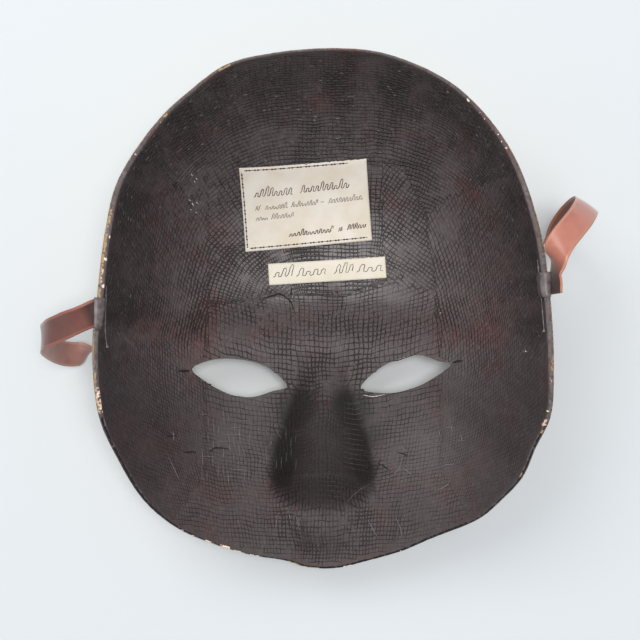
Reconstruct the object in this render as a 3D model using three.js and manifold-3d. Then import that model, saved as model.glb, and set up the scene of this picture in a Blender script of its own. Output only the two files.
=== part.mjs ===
// A small Venetian neutral mask of papier-mache, lying face down with its lined hollow upwards.
// Millimetres. X runs across the face, Y runs up it to the forehead, Z rises from the table.
import * as THREE from "three";
import { mergeVertices } from "three/addons/utils/BufferGeometryUtils.js";
import Module from "manifold-3d";

const { clamp, degToRad, lerp, smoothstep } = THREE.MathUtils;

// The shell: papier-mache, gauze lining and paint together.
const WALL = 2.4;
const SPOKES = 72;
const RINGS = 22;
const MIDDLE_Y = 12; // between the brows, where the profiles spread from

// The wall thins over the last part of the way to the rim.
const RIM_WALL = { side: 2.2, top: 1.0, bottom: 1.2 };
const THINS_FROM = 0.86;

// The rim's outer edge, clockwise from the top of the forehead: across, up the face, and its height.
const RIM = [
  [2.6, 97.9, 60],
  [22.1, 96.1, 60],
  [43.7, 86.7, 62],
  [56.1, 75.9, 64],
  [68.2, 58.3, 67],
  [77.0, 32.0, 70],
  [80.8, 6.8, 70],
  [82.0, -17.0, 70],
  [81.6, -35.0, 66],
  [77.2, -47.0, 60],
  [73.5, -58.4, 53],
  [66.8, -67.7, 46],
  [58.9, -75.7, 40],
  [42.3, -84.3, 31],
  [30.7, -90.2, 26],
  [18.5, -94.4, 22],
  [5.2, -97.9, 20],
  [-6.6, -97.5, 20],
  [-14.0, -94.8, 22],
  [-29.0, -91.5, 26],
  [-46.3, -84.9, 32],
  [-57.1, -78.3, 38],
  [-67.0, -67.7, 46],
  [-74.9, -51.8, 56],
  [-80.5, -34.3, 66],
  [-82.0, -9.5, 70],
  [-80.4, 6.4, 70],
  [-77.4, 30.9, 70],
  [-73.1, 49.3, 68],
  [-59.5, 70.7, 65],
  [-48.3, 81.8, 63],
  [-35.4, 91.6, 61],
  [-19.9, 95.9, 60],
];

// How square each profile is, and how nearly it has turned upright at the rim.
const SQUARE = { side: 3.4, top: 2.4, bottom: 2.3 };
const UPRIGHT = { side: 0.998, top: 0.99, bottom: 0.72 };

// The face, as depths: a hollow in the front counts up and a swelling counts down.
const MID_FACE = { depth: 11, from: -14, to: 8 };
const FOREHEAD = { swell: 3.8, y: 42, wide: 60, tall: 24 };
const NOSE = {
  rootY: -8,
  tipY: -63,
  baseY: -76,
  stands: 17.6,
  rootHalf: 11,
  wingHalf: 22,
  flatHalf: 5,
};
const WING = { swell: 2, x: 14, y: -65, wide: 7, tall: 7.5 };
const SOCKET = { depth: 3, x: 33.5, y: -23, wide: 25, tall: 15 };
const LIDS = { swell: 3.5, x: 33.5, y: -23, wide: 16, tall: 9.5 };
const CHEEK = { swell: 4, x: 46, y: -48, wide: 22, tall: 18 };
const LIP = { swell: 3, wide: 15, from: -95, to: -78 };
const PHILTRUM = { depth: 2, y: -81, wide: 6.5, tall: 7 };

// It lies on small flats worn on the forehead and on the tip of the nose.
const FLAT_WORN = 0.45;

// Eye holes, each by the points of its upper and lower edge, from the outer corner.
const EYES = {
  left: {
    upper: [[-51.1, -20.0], [-45.9, -17.0], [-36.3, -15.9], [-22.3, -19.1], [-14.1, -27.0]],
    lower: [[-14.1, -27.0], [-20.0, -28.9], [-28.2, -31.2], [-37.9, -29.6], [-51.1, -20.0]],
  },
  right: {
    upper: [[50.6, -17.7], [46.1, -17.0], [37.9, -14.5], [24.5, -18.5], [15.1, -27.7]],
    lower: [[15.1, -27.7], [26.1, -29.7], [34.6, -28.0], [41.2, -25.1], [50.6, -17.7]],
  },
};

// Paper labels glued over the lining of the forehead.
const PAPER = 0.4;
const GLUE_GAP = 0.6;
const PRINTED_LABEL = { wide: 51, tall: 32.4, x: -6.8, y: 45.4, turn: 4.8 };
const NAME_STRIP = { wide: 47.7, tall: 8.7, x: 1.9, y: 19.3, turn: 3.6 };

// Satin ribbons, flat, each with its unseen length rolled up on edge under the cheek.
const RIBBON = { wide: 10, thick: 0.8, sides: 6, steps: 60 };
const ROLL = { inner: 17.8, outer: 25.6, tall: 10.4, x: 43.5, y: -60 };

// Each route runs from the rim out and down in a loose loop, and on edge back to its roll.
// A row is a point of the ribbon's middle line, then the direction of its width there.
const LEFT_ROUTE = [
  [-79.6, 2.2, 73.5, 0, 1, 0],
  [-81.2, 1.6, 74.2, 0, 0.98, 0.18],
  [-83.0, 0.8, 74.6, 0, 0.93, 0.36],
  [-86.0, -0.4, 74.2, 0.1, 0.86, 0.5],
  [-89.8, -1.8, 72.6, 0.1, 0.86, 0.5],
  [-93.8, -3.4, 69.4, 0, 0.9, 0.4],
  [-98.2, -5.0, 65.4, 0, 0.95, 0.25],
  [-101.8, -6.4, 59.8, 0, 1, 0],
  [-104.2, -7.6, 52.8, 0, 1, 0],
  [-105.4, -8.8, 45.0, 0, 1, 0],
  [-105.7, -10.1, 37.0, 0, 1, 0],
  [-105.5, -11.5, 29.0, 0, 1, 0],
  [-104.4, -13.0, 21.0, 0, 1, 0],
  [-101.6, -14.2, 13.6, 0, 1, 0.05],
  [-97.6, -14.2, 9.0, 0, 0.95, 0.3],
  [-93.6, -12.7, 6.6, 0, 0.55, 0.83],
  [-89.4, -11.2, 5.6, 0, 0.1, 1],
  [-83.6, -10.0, 5.3, 0, 0, 1],
  [-77.6, -11.0, 5.2, 0, 0, 1],
  [-72.2, -14.2, 5.2, 0, 0, 1],
  [-68.0, -19.2, 5.2, 0, 0, 1],
  [-65.8, -25.4, 5.2, 0, 0, 1],
  [-65.5, -32.2, 5.2, 0, 0, 1],
  [-66.6, -39.2, 5.2, 0, 0, 1],
  [-68.3, -46.0, 5.2, 0, 0, 1],
  [-70.0, -53.0, 5.2, 0, 0, 1],
];
const RIGHT_ROUTE = [
  [81.4, 8.8, 72.8, 0, 0, -1],
  [81.6, 12.4, 72.6, -0.03, 0, -1],
  [81.8, 16.0, 72.6, -0.08, 0.03, -0.99],
  [82.1, 18.6, 73.1, -0.2, 0.05, -0.97],
  [82.5, 20.8, 74.0, -0.38, 0.1, -0.92],
  [83.1, 22.8, 75.1, -0.66, 0.3, -0.66],
  [84.0, 24.8, 75.8, -0.83, 0.47, -0.3],
  [85.9, 27.9, 75.6, -0.84, 0.55, 0],
  [88.8, 32.0, 73.6, -0.84, 0.55, 0],
  [91.8, 35.8, 69.6, -0.84, 0.55, 0],
  [94.6, 39.0, 63.8, -0.84, 0.55, 0],
  [96.6, 41.2, 57.0, -0.84, 0.55, 0],
  [97.8, 42.6, 49.2, -0.84, 0.55, 0],
  [98.3, 43.0, 41.2, -0.84, 0.55, 0],
  [98.2, 42.6, 33.2, -0.84, 0.55, 0],
  [97.2, 41.0, 25.2, -0.84, 0.5, 0.2],
  [95.0, 38.0, 17.8, -0.75, 0.3, 0.6],
  [91.6, 33.4, 11.4, -0.35, 0, 0.93],
  [87.4, 27.2, 7.2, 0, 0, 1],
  [82.8, 19.8, 5.5, 0, 0, 1],
  [78.6, 12.2, 5.2, 0, 0, 1],
  [75.3, 4.0, 5.2, 0, 0, 1],
  [73.3, -5.0, 5.2, 0, 0, 1],
  [72.4, -14.0, 5.2, 0, 0, 1],
  [72.1, -23.4, 5.2, 0, 0, 1],
  [71.8, -33.0, 5.2, 0, 0, 1],
  [71.2, -43.0, 5.2, 0, 0, 1],
  [70.2, -53.0, 5.2, 0, 0, 1],
];

const bell = (across, along) => Math.exp(-(across ** 2) - along ** 2);
const mound = (m, x, y) => bell((Math.abs(x) - m.x) / m.wide, (y - m.y) / m.tall);

// A fall from 1 to 0, gentle at first and then steep.
const falling = (share) => (1 - share ** 2) ** 1.3;

// How far the nose stands out of the face.
function nose(x, y) {
  const down = clamp((NOSE.rootY - y) / (NOSE.rootY - NOSE.tipY), 0, 1);
  const under = clamp((NOSE.tipY - y) / (NOSE.tipY - NOSE.baseY), 0, 1);
  const half = lerp(NOSE.rootHalf, NOSE.wingHalf, down ** 2);
  const flat = NOSE.flatHalf * down;
  const across = clamp((Math.abs(x) - flat) / (half - flat), 0, 1);
  return NOSE.stands * down ** 1.2 * falling(under) * falling(across);
}

// The features of the face over the plain dome.
function features(x, y) {
  const midFace = MID_FACE.depth * (1 - smoothstep(y, MID_FACE.from, MID_FACE.to));
  const forehead = FOREHEAD.swell * bell(x / FOREHEAD.wide, (y - FOREHEAD.y) / FOREHEAD.tall);
  const lip = LIP.swell * bell(x / LIP.wide, 0) * (1 - smoothstep(y, LIP.from, LIP.to));
  const philtrum = PHILTRUM.depth * bell(x / PHILTRUM.wide, (y - PHILTRUM.y) / PHILTRUM.tall);
  const hollows = midFace + philtrum + SOCKET.depth * mound(SOCKET, x, y);
  const lids = LIDS.swell * mound(LIDS, x, y);
  const cheeks = CHEEK.swell * mound(CHEEK, x, y);
  const wings = WING.swell * mound(WING, x, y);
  return hollows - forehead - lids - cheeks - wings - lip - nose(x, y);
}

// The rim as directions from the middle, each with its reach and its height.
const rimCurve = new THREE.CatmullRomCurve3(
  RIM.map(([x, y, z]) => new THREE.Vector3(x, y, z)),
  true,
  "centripetal",
);
const rimTable = rimCurve
  .getPoints(900)
  .slice(0, -1)
  .map((p) => ({
    angle: Math.atan2(p.y - MIDDLE_Y, p.x),
    reach: Math.hypot(p.x, p.y - MIDDLE_Y),
    height: p.z,
  }))
  .sort((a, b) => a.angle - b.angle);

function rimAt(angle) {
  const turned = Math.atan2(Math.sin(angle), Math.cos(angle));
  const next = rimTable.findIndex((p) => p.angle > turned);
  const after = rimTable[next < 0 ? 0 : next];
  const before = rimTable.at(next <= 0 ? -1 : next - 1);
  const span = (after.angle - before.angle + 2 * Math.PI) % (2 * Math.PI);
  const part = ((turned - before.angle + 2 * Math.PI) % (2 * Math.PI)) / span;
  return {
    reach: lerp(before.reach, after.reach, part),
    height: lerp(before.height, after.height, part),
  };
}

// A value that differs at the sides, the top and the bottom of the face.
function towards(angle, values) {
  const side = Math.cos(angle) ** 2;
  return side * values.side + (1 - side) * (Math.sin(angle) > 0 ? values.top : values.bottom);
}

// The dome's shape in one direction: reach, rise, squareness and how upright it ends.
function profileOf(angle) {
  const rim = rimAt(angle);
  const x = rim.reach * Math.cos(angle);
  const y = rim.reach * Math.sin(angle) + MIDDLE_Y;
  return {
    reach: rim.reach,
    rise: rim.height - features(x, y),
    square: towards(angle, SQUARE),
    upright: towards(angle, UPRIGHT),
  };
}

const domeRise = (p, share) => 1 - (1 - (p.upright * share) ** p.square) ** (1 / p.square);

// The outer skin's height over a point of the plan, before it is stood on the table.
function outerHeight(x, y) {
  const angle = Math.atan2(y - MIDDLE_Y, x);
  const p = profileOf(angle);
  const share = Math.min(Math.hypot(x, y - MIDDLE_Y) / p.reach, 1);
  return (p.rise * domeRise(p, share)) / domeRise(p, 1) + features(x, y);
}

// Even steps along one profile of the outer skin, from the middle to the rim.
function spoke(angle) {
  const p = profileOf(angle);
  const steps = 240;
  const most = Math.asin(p.upright ** (p.square / 2));
  const fine = [];
  for (let i = 0; i <= steps; i += 1) {
    const turn = most * (i / steps) ** (p.square / 2);
    const share = Math.min(Math.sin(turn) ** (2 / p.square) / p.upright, 1);
    const x = share * p.reach * Math.cos(angle);
    const y = share * p.reach * Math.sin(angle) + MIDDLE_Y;
    fine.push(new THREE.Vector3(x, y, outerHeight(x, y)));
  }
  const length = [0];
  for (let i = 1; i <= steps; i += 1) {
    length.push(length[i - 1] + fine[i].distanceTo(fine[i - 1]));
  }
  const even = [];
  for (let ring = 1; ring <= RINGS; ring += 1) {
    const wanted = (length[steps] * ring) / RINGS;
    const i = Math.min(length.findIndex((l) => l >= wanted - 1e-9), steps);
    const part = (wanted - length[i - 1]) / (length[i] - length[i - 1]);
    even.push(fine[i - 1].clone().lerp(fine[i], clamp(part, 0, 1)));
  }
  return even;
}

// Spokes stand closer together towards the nose than over the forehead.
function spokeAngle(index) {
  const even = -Math.PI + (2 * Math.PI * index) / SPOKES;
  return even - 0.4 * Math.sin(even) - Math.PI / 2;
}

const outerSpokes = Array.from({ length: SPOKES }, (_, i) => spoke(spokeAngle(i)));
const outerMiddle = new THREE.Vector3(0, MIDDLE_Y, outerHeight(0, MIDDLE_Y));
const lowest = Math.min(...outerSpokes.flat().map((p) => p.z));
const TABLE = lowest + FLAT_WORN;

function wallAt(spokeIndex, ring) {
  const rimWall = towards(spokeAngle(spokeIndex), RIM_WALL);
  return lerp(WALL, rimWall, smoothstep((ring + 1) / RINGS, THINS_FROM, 1));
}

// The inner skin is the outer one moved in by the wall, square to the surface.
function innerPoint(spokeIndex, ring) {
  const here = outerSpokes[spokeIndex][ring];
  const inwards = ring > 0 ? outerSpokes[spokeIndex][ring - 1] : outerMiddle;
  const outwards = outerSpokes[spokeIndex][Math.min(ring + 1, RINGS - 1)];
  const before = outerSpokes[(spokeIndex + SPOKES - 1) % SPOKES][ring];
  const after = outerSpokes[(spokeIndex + 1) % SPOKES][ring];
  const along = outwards.clone().sub(inwards);
  const round = after.clone().sub(before);
  const normal = along.cross(round).normalize();
  return here.clone().addScaledVector(normal, wallAt(spokeIndex, ring));
}

// The closed shell: rings from the outer middle over the rim to the inner middle.
function shellGeometry() {
  const loops = [];
  for (let ring = 0; ring < RINGS; ring += 1) {
    loops.push(outerSpokes.map((s) => s[ring].clone().setZ(Math.max(s[ring].z, TABLE))));
  }
  for (let ring = RINGS - 1; ring >= 0; ring -= 1) {
    loops.push(outerSpokes.map((_, i) => innerPoint(i, ring)));
  }
  const innerMiddle = outerMiddle.clone().setZ(outerMiddle.z + WALL);
  const points = [outerMiddle.clone().setZ(Math.max(outerMiddle.z, TABLE)), ...loops.flat(), innerMiddle];
  const faces = [];
  const at = (loop, i) => 1 + loop * SPOKES + (i % SPOKES);
  for (let i = 0; i < SPOKES; i += 1) {
    faces.push(0, at(0, i + 1), at(0, i));
    for (let loop = 0; loop < loops.length - 1; loop += 1) {
      faces.push(at(loop, i), at(loop, i + 1), at(loop + 1, i + 1));
      faces.push(at(loop, i), at(loop + 1, i + 1), at(loop + 1, i));
    }
    faces.push(points.length - 1, at(loops.length - 1, i), at(loops.length - 1, i + 1));
  }
  const geometry = new THREE.BufferGeometry().setFromPoints(points);
  geometry.setIndex(faces);
  return geometry.translate(0, 0, -TABLE);
}

function eyeHoleGeometry(eye) {
  const outline = new THREE.Shape();
  outline.moveTo(...eye.upper[0]);
  outline.splineThru(eye.upper.slice(1).map(([x, y]) => new THREE.Vector2(x, y)));
  outline.splineThru(eye.lower.slice(1).map(([x, y]) => new THREE.Vector2(x, y)));
  const cut = { depth: 60, bevelEnabled: false, curveSegments: 4 };
  return new THREE.ExtrudeGeometry(outline, cut).translate(0, 0, -5);
}

const wasm = await Module();
wasm.setup();

function solidOf(geometry) {
  const bare = geometry.clone();
  bare.deleteAttribute("normal");
  bare.deleteAttribute("uv");
  const merged = mergeVertices(bare, 1e-4);
  const vertProperties = new Float32Array(merged.attributes.position.array);
  const triVerts = new Uint32Array(merged.index.array);
  return new wasm.Manifold(new wasm.Mesh({ numProp: 3, vertProperties, triVerts }));
}

function geometryOf(solid) {
  const mesh = solid.getMesh();
  const geometry = new THREE.BufferGeometry();
  geometry.setAttribute("position", new THREE.BufferAttribute(mesh.vertProperties, 3));
  geometry.setIndex(new THREE.BufferAttribute(mesh.triVerts, 1));
  geometry.computeVertexNormals();
  return geometry;
}

// The lining's height, square through the wall from the outer skin.
function liningHeight(x, y) {
  const step = 0.5;
  const slopeX = (outerHeight(x + step, y) - outerHeight(x - step, y)) / (2 * step);
  const slopeY = (outerHeight(x, y + step) - outerHeight(x, y - step)) / (2 * step);
  return outerHeight(x, y) - TABLE + WALL * Math.hypot(1, slopeX, slopeY);
}

// A paper label, turned on the forehead and lying on the curve of the lining.
function labelGeometry(label) {
  const geometry = new THREE.BoxGeometry(label.wide, label.tall, PAPER, 10, 6, 1);
  geometry.rotateZ(degToRad(label.turn)).translate(label.x, label.y, 0);
  const place = geometry.attributes.position;
  for (let i = 0; i < place.count; i += 1) {
    const under = liningHeight(place.getX(i), place.getY(i)) + GLUE_GAP + PAPER / 2;
    place.setZ(i, place.getZ(i) + under);
  }
  return geometry;
}

// A ribbon's middle line, which carries the direction of the ribbon's width along it.
class RibbonPath extends THREE.CatmullRomCurve3 {
  constructor(route) {
    super(route.map(([x, y, z]) => new THREE.Vector3(x, y, z)));
    this.widths = route.map((row) => new THREE.Vector3(...row.slice(3)));
  }

  widthAt(share) {
    const row = this.getUtoTmapping(share) * (this.widths.length - 1);
    const before = Math.min(Math.floor(row), this.widths.length - 2);
    return this.widths[before].clone().lerp(this.widths[before + 1], row - before);
  }

  computeFrenetFrames(steps) {
    const shares = Array.from({ length: steps + 1 }, (_, i) => i / steps);
    const tangents = shares.map((share) => this.getTangentAt(share));
    const normals = shares.map((share, i) => this.widthAt(share).projectOnPlane(tangents[i]).normalize());
    const binormals = tangents.map((tangent, i) => tangent.clone().cross(normals[i]));
    return { tangents, normals, binormals };
  }
}

// The ribbon's loose run, as a plain tube with a flattened section.
function ribbonRunGeometry(route) {
  const section = new THREE.Shape();
  const corner = Math.cos(Math.PI / RIBBON.sides);
  for (let i = 0; i < RIBBON.sides; i += 1) {
    const turn = (2 * Math.PI * (i + 0.5)) / RIBBON.sides;
    const x = (Math.cos(turn) / corner) * (RIBBON.wide / 2);
    const y = (Math.sin(turn) / corner) * (RIBBON.thick / 2);
    if (i === 0) section.moveTo(x, y);
    else section.lineTo(x, y);
  }
  return new THREE.ExtrudeGeometry(section, { steps: RIBBON.steps, extrudePath: new RibbonPath(route) });
}

// The roll of spare ribbon, as one ring standing on the table.
function ribbonRollGeometry(side) {
  const { inner, outer, tall } = ROLL;
  const corners = [[inner, 0], [outer, 0], [outer, tall], [inner, tall], [inner, 0]];
  const ring = new THREE.LatheGeometry(corners.map(([r, z]) => new THREE.Vector2(r, z)), 40);
  return ring.rotateX(Math.PI / 2).translate(side * ROLL.x, ROLL.y, 0);
}

const materials = {
  papierMache: { color: 0x3a302e, roughness: 0.5, metalness: 0 },
  printedPaper: { color: 0xd9d2c4, roughness: 0.85, metalness: 0 },
  stripPaper: { color: 0xe2dccb, roughness: 0.85, metalness: 0 },
  satin: { color: 0xb9775f, roughness: 0.45, metalness: 0 },
};

const mask = new THREE.Group();

function addPiece(name, geometry, material) {
  const piece = new THREE.Mesh(geometry, new THREE.MeshStandardMaterial(materials[material]));
  piece.name = name;
  mask.add(piece);
}

const shell = Object.values(EYES).reduce(
  (solid, eye) => solid.subtract(solidOf(eyeHoleGeometry(eye))),
  solidOf(shellGeometry()),
);
addPiece("mask_shell", geometryOf(shell), "papierMache");
addPiece("printed_label", labelGeometry(PRINTED_LABEL), "printedPaper");
addPiece("name_strip", labelGeometry(NAME_STRIP), "stripPaper");
addPiece("left_ribbon_run", ribbonRunGeometry(LEFT_ROUTE), "satin");
addPiece("left_ribbon_roll", ribbonRollGeometry(-1), "satin");
addPiece("right_ribbon_run", ribbonRunGeometry(RIGHT_ROUTE), "satin");
addPiece("right_ribbon_roll", ribbonRollGeometry(1), "satin");

export default mask;
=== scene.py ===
"""A small neutral Venetian mask of papier-mache, face down, with its gauze-lined hollow upwards."""
import math

import bmesh
import bpy
import numpy as np
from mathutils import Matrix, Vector, noise


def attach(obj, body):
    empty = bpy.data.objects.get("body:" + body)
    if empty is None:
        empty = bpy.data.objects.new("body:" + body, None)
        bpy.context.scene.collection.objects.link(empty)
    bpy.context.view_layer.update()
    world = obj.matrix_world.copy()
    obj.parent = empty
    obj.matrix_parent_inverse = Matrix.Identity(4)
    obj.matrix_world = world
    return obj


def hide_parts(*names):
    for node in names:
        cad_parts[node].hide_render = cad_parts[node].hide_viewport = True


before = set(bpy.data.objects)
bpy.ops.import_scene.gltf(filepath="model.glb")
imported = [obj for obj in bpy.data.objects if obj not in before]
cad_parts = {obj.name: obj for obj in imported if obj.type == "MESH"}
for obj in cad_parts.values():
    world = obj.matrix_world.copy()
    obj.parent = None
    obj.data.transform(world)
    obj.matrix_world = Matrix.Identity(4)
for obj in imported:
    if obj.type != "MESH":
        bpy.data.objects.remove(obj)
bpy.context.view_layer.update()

MM = 0.001
TURN = 2 * math.pi

# The picture: 640 pixels across, taken from straight above, its scale known at the side rims.
PICTURE = 640
PICTURE_MM_PER_PIXEL = 0.355
CAMERA_AT = (-1.07, -0.65, 552.3)
CAMERA_OVER_RIM = 480.0

# The shell, as in the CAD: papier-mache, gauze lining and paint together.
WALL = 2.4
RIM_WALL = {"side": 2.2, "top": 1.0, "bottom": 1.2}
THINS_FROM = 0.86
MIDDLE_Y = 12.0
RIM = [
    (2.6, 97.9, 60), (22.1, 96.1, 60), (43.7, 86.7, 62), (56.1, 75.9, 64), (68.2, 58.3, 67),
    (77.0, 32.0, 70), (80.8, 6.8, 70), (82.0, -17.0, 70), (81.6, -35.0, 66), (77.2, -47.0, 60),
    (73.5, -58.4, 53), (66.8, -67.7, 46), (58.9, -75.7, 40), (42.3, -84.3, 31),
    (30.7, -90.2, 26), (18.5, -94.4, 22), (5.2, -97.9, 20), (-6.6, -97.5, 20),
    (-14.0, -94.8, 22), (-29.0, -91.5, 26), (-46.3, -84.9, 32), (-57.1, -78.3, 38),
    (-67.0, -67.7, 46), (-74.9, -51.8, 56), (-80.5, -34.3, 66), (-82.0, -9.5, 70),
    (-80.4, 6.4, 70), (-77.4, 30.9, 70), (-73.1, 49.3, 68), (-59.5, 70.7, 65),
    (-48.3, 81.8, 63), (-35.4, 91.6, 61), (-19.9, 95.9, 60),
]
SQUARE = {"side": 3.4, "top": 2.4, "bottom": 2.3}
UPRIGHT = {"side": 0.998, "top": 0.99, "bottom": 0.72}
FLAT_WORN = 0.45
NOSE = {"top": -8, "long": 55, "base": -63, "rounding": 13, "half": 11, "widens": 11.5, "deep": 17.6}
SIDE_RIM = 81.0

EYES = {
    "left": [(-51.1, -20.0), (-45.9, -17.0), (-36.3, -15.9), (-22.3, -19.1), (-14.1, -27.0),
             (-20.0, -28.9), (-28.2, -31.2), (-37.9, -29.6)],
    "right": [(50.6, -17.7), (46.1, -17.0), (37.9, -14.5), (24.5, -18.5), (15.1, -27.7),
              (26.1, -29.7), (34.6, -28.0), (41.2, -25.1)],
}

# Labels by their corners in plan: top left, top right, bottom right, bottom left.
PRINTED_LABEL = [(-33.2, 59.6), (17.4, 63.5), (20.1, 31.7), (-31.2, 26.9)]
NAME_STRIP = [(-22.2, 22.1), (25.3, 25.1), (25.9, 16.4), (-21.6, 13.4)]

# Ribbons: each row of a route is a point of the middle line, then the way of its width there.
RIBBON_WIDE = 10.0
RIBBON_THICK = 0.45
RIBBON_LENGTH = 400.0
ROLL_X, ROLL_Y = 43.5, -60.0
ROLL_TURN_APART = 4.0
ROLL_TURNS = 2.5
LEFT_ROUTE = [
    (-79.6, 2.2, 73.5, 0, 1, 0), (-81.2, 1.6, 74.2, 0, 0.98, 0.18),
    (-83.0, 0.8, 74.6, 0, 0.93, 0.36), (-86.0, -0.4, 74.2, 0.1, 0.86, 0.5),
    (-89.8, -1.8, 72.6, 0.1, 0.86, 0.5), (-93.8, -3.4, 69.4, 0, 0.9, 0.4),
    (-98.2, -5.0, 65.4, 0, 0.95, 0.25), (-101.8, -6.4, 59.8, 0, 1, 0),
    (-104.2, -7.6, 52.8, 0, 1, 0), (-105.4, -8.8, 45.0, 0, 1, 0), (-105.7, -10.1, 37.0, 0, 1, 0),
    (-105.5, -11.5, 29.0, 0, 1, 0), (-104.4, -13.0, 21.0, 0, 1, 0),
    (-101.6, -14.2, 13.6, 0, 1, 0.05), (-97.6, -14.2, 9.0, 0, 0.95, 0.3),
    (-93.6, -12.7, 6.6, 0, 0.12, 1), (-89.4, -11.2, 5.6, 0, 0, 1),
    (-83.6, -10.0, 5.3, 0, 0, 1), (-77.6, -11.0, 5.2, 0, 0, 1), (-72.2, -14.2, 5.2, 0, 0, 1),
    (-68.0, -19.2, 5.2, 0, 0, 1), (-65.8, -25.4, 5.2, 0, 0, 1), (-65.5, -32.2, 5.2, 0, 0, 1),
    (-66.6, -39.2, 5.2, 0, 0, 1), (-68.3, -46.0, 5.2, 0, 0, 1), (-70.0, -53.0, 5.2, 0, 0, 1),
]
RIGHT_ROUTE = [
    (82.4, 8.6, 72.8, -0.3, 0, -0.95), (82.5, 12.4, 72.6, -0.3, 0, -0.95),
    (82.5, 16.0, 72.9, -0.2, 0.03, -0.98), (82.7, 18.6, 74.0, -0.22, 0.08, -0.97),
    (82.5, 20.8, 75.4, -0.5, 0.2, -0.84), (82.3, 22.9, 76.4, -0.76, 0.36, -0.5),
    (82.9, 25.1, 76.8, -0.83, 0.47, -0.25), (85.0, 28.4, 76.2, -0.84, 0.55, 0),
    (88.4, 32.2, 73.6, -0.84, 0.55, 0), (91.8, 35.8, 69.6, -0.84, 0.55, 0),
    (94.6, 39.0, 63.8, -0.84, 0.55, 0), (96.6, 41.2, 57.0, -0.84, 0.55, 0),
    (97.8, 42.6, 49.2, -0.84, 0.55, 0), (98.3, 43.0, 41.2, -0.84, 0.55, 0),
    (98.2, 42.6, 33.2, -0.84, 0.55, 0), (97.2, 41.0, 25.2, -0.84, 0.5, 0.2),
    (95.0, 38.0, 17.8, -0.75, 0.3, 0.6), (91.6, 33.4, 11.4, -0.35, 0, 0.93),
    (87.4, 27.2, 7.2, 0, 0, 1), (82.8, 19.8, 5.5, 0, 0, 1), (78.6, 12.2, 5.2, 0, 0, 1),
    (75.3, 4.0, 5.2, 0, 0, 1), (73.3, -5.0, 5.2, 0, 0, 1), (72.4, -14.0, 5.2, 0, 0, 1),
    (72.1, -23.4, 5.2, 0, 0, 1), (71.8, -33.0, 5.2, 0, 0, 1), (71.2, -43.0, 5.2, 0, 0, 1),
    (70.2, -53.0, 5.2, 0, 0, 1),
]


# Numbers

def smooth(value, low, high):
    """The smooth step from 0 at low to 1 at high."""
    share = np.clip((value - low) / (high - low), 0, 1)
    return share * share * (3 - 2 * share)


def bell(across, along=0.0):
    return np.exp(-np.square(across) - np.square(along))


def polar(angle, reach):
    return reach * np.cos(angle), reach * np.sin(angle)


def unit(vectors):
    return vectors / np.maximum(np.linalg.norm(vectors, axis=-1, keepdims=True), 1e-12)


def catmull_rom(points, count, closed):
    """Points along the centripetal curve through the given ones, evenly in its parameter."""
    given = np.array(points, float)
    if closed:
        held = np.vstack([given[-1], given, given[0], given[1]])
        spans = len(given)
        where = np.arange(count) * spans / count
    else:
        held = np.vstack([2 * given[0] - given[1], given, 2 * given[-1] - given[-2]])
        spans = len(given) - 1
        where = np.linspace(0, spans, count)
    first = np.minimum(where.astype(int), spans - 1)
    part = (where - first)[:, None]
    p0, p1, p2, p3 = (held[first + k] for k in range(4))
    step0, step1, step2 = (
        np.sqrt(np.linalg.norm(b - a, axis=1))[:, None] for a, b in ((p0, p1), (p1, p2), (p2, p3))
    )
    leave = ((p1 - p0) / step0 - (p2 - p0) / (step0 + step1) + (p2 - p1) / step1) * step1
    arrive = ((p2 - p1) / step1 - (p3 - p1) / (step1 + step2) + (p3 - p2) / step2) * step1
    bend = -3 * p1 + 3 * p2 - 2 * leave - arrive
    twist = 2 * p1 - 2 * p2 + leave + arrive
    return p1 + leave * part + bend * part**2 + twist * part**3


def resampled(rows, wanted):
    """Rows of a line, which start with its points, read off at these lengths along it."""
    steps = np.linalg.norm(np.diff(rows[:, :3], axis=0), axis=1)
    length = np.r_[0, np.cumsum(steps)]
    return np.column_stack([np.interp(wanted, length, column) for column in rows.T]), length[-1]


def ripple(x, y, size, seed):
    """A soft random value at each point of the plan, from about -1 to 1, its waves of this size."""
    flat = zip(np.ravel(x) / size, np.ravel(y) / size)
    values = [noise.noise(Vector((a, b, seed))) for a, b in flat]
    return np.reshape(values, np.shape(x))


def inside(outline, x, y):
    """Which points of the plan lie inside an outline."""
    within = np.zeros(np.shape(x), bool)
    for (x0, y0), (x1, y1) in zip(outline, outline[1:] + outline[:1]):
        crossing = (y0 > y) != (y1 > y)
        rise = (y1 - y0) or 1e-9
        within ^= crossing & (x < (x1 - x0) * (y - y0) / rise + x0)
    return within


def off_line(line, x, y):
    """How far each point of the plan is from a line of straight pieces."""
    nearest = np.full(np.shape(x), np.inf)
    for (x0, y0), (x1, y1) in zip(line, line[1:]):
        along = (x1 - x0, y1 - y0)
        share = ((x - x0) * along[0] + (y - y0) * along[1]) / (along[0] ** 2 + along[1] ** 2)
        share = np.clip(share, 0, 1)
        away = np.hypot(x - x0 - share * along[0], y - y0 - share * along[1])
        nearest = np.minimum(nearest, away)
    return nearest


# The shape of the face

def mound(across, up, wide, tall, x, y):
    return bell((np.abs(x) - across) / wide, (y - up) / tall)


def falling(share):
    return (1 - share**2) ** 1.08


def nose(x, y):
    down = np.clip((NOSE["top"] - y) / NOSE["long"], 0, 1)
    under = np.clip((NOSE["base"] - y) / NOSE["rounding"], 0, 1)
    half = NOSE["half"] + NOSE["widens"] * smooth(down, 0.2, 1)
    flat = 5 * down
    across = np.clip((np.abs(x) - flat) / (half - flat), 0, 1)
    return NOSE["deep"] * down**1.2 * falling(np.minimum(np.hypot(under, across), 1))


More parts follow.
